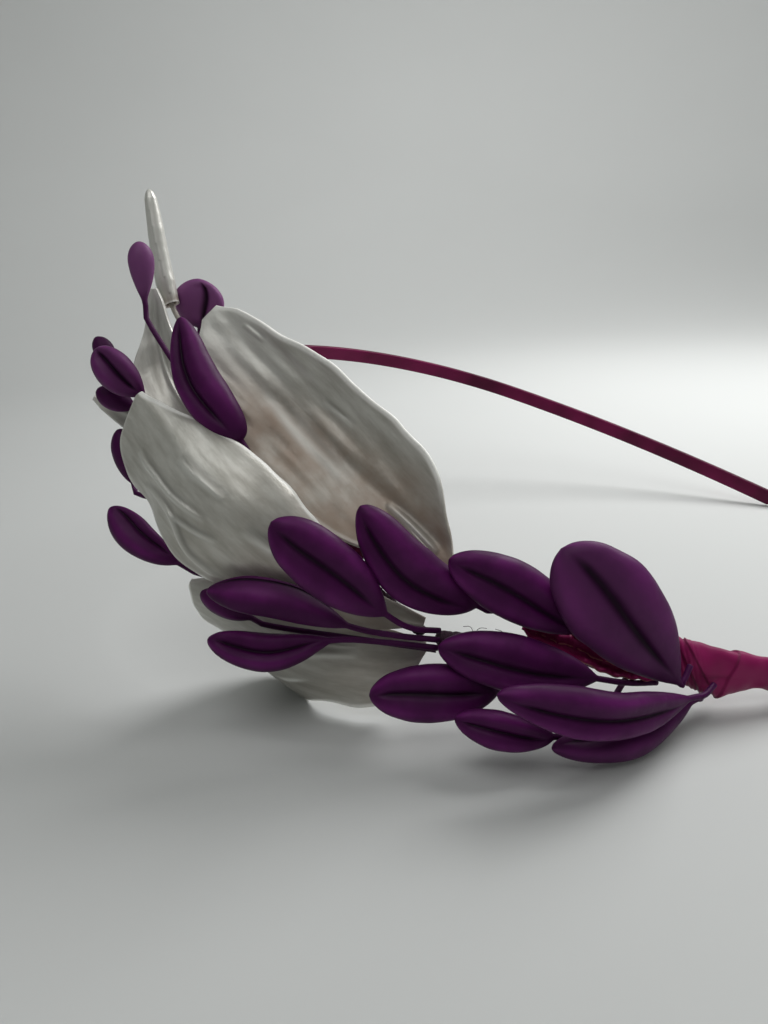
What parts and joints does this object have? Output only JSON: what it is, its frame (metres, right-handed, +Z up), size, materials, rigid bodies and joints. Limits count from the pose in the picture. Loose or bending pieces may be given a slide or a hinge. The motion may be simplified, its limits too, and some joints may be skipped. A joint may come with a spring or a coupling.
{
  "type": "headband fascinator",
  "caption": "Slim ribbon-covered headband with a side spray of silver leaves and dark purple double-lobed pods on wires, lying on a table.",
  "frame": {"origin": "middle of the base of the bounding box, on the table it lies on", "axes": "+Z up from the table; +X from the middle of the crown towards the two tips; +Y across the head, away from the decorated side"},
  "size_m": [0.1438, 0.1562, 0.0909],
  "materials": {
    "ribbon": "satin",
    "tape": "matte",
    "purple": "satin",
    "silver": "satin"
  },
  "bodies": {
    "root": {"band": "ribbon", "binding": "ribbon", "ribbon_end": "ribbon", "branch": "tape", "upper_branch": "tape", "silver_bud": "silver", "back_leaf": "silver", "front_leaf": "silver", "lower_leaf": "silver", "twisted_leaf": "silver", "small_leaf": "silver", "pod_01": "purple", "pod_02": "purple", "pod_03": "purple", "pod_04": "purple", "pod_05": "purple", "pod_06": "purple", "pod_07": "purple", "pod_08": "purple", "pod_09": "purple", "pod_10": "purple", "pod_11": "purple", "pod_12": "purple", "pod_13": "purple", "pod_14": "purple", "pod_15": "purple", "pod_16": "purple", "pod_17": "purple", "pod_18": "purple", "pod_19": "purple", "pod_20": "purple"}
  },
  "joints": []
}
